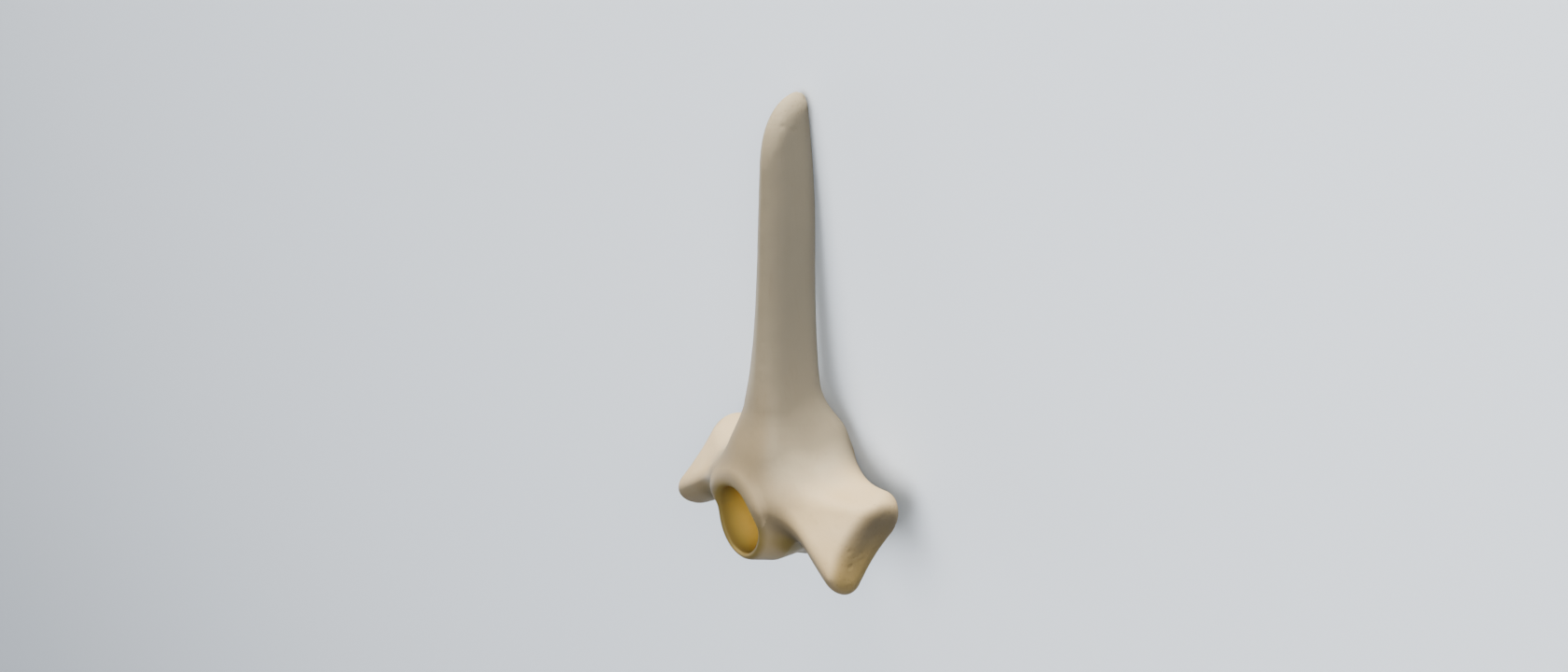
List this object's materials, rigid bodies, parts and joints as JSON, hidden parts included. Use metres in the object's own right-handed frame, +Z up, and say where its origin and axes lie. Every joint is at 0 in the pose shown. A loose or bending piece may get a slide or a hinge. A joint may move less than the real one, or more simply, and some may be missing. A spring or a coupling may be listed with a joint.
{
  "type": "pig thoracic vertebra",
  "caption": "Life-size pig thoracic vertebra, a still dry bone with a tall spinous process, a round vertebral canal and lobed transverse processes, lying on its tail side.",
  "frame": {"origin": "centre of the bounding box, on the floor", "axes": "+Y along the spinous process to its tip, +X to the animal's left, +Z up, which is the bone's head end as it lies"},
  "size_m": [0.0662, 0.1222, 0.0328],
  "materials": {
    "bone": "satin, dry cream bone, warmer in the hollows"
  },
  "bodies": {
    "root": {"spinous_process": "bone", "vertebral_arch": "bone", "vertebral_body": "bone", "transverse_process_left": "bone", "transverse_process_right": "bone"}
  },
  "joints": []
}
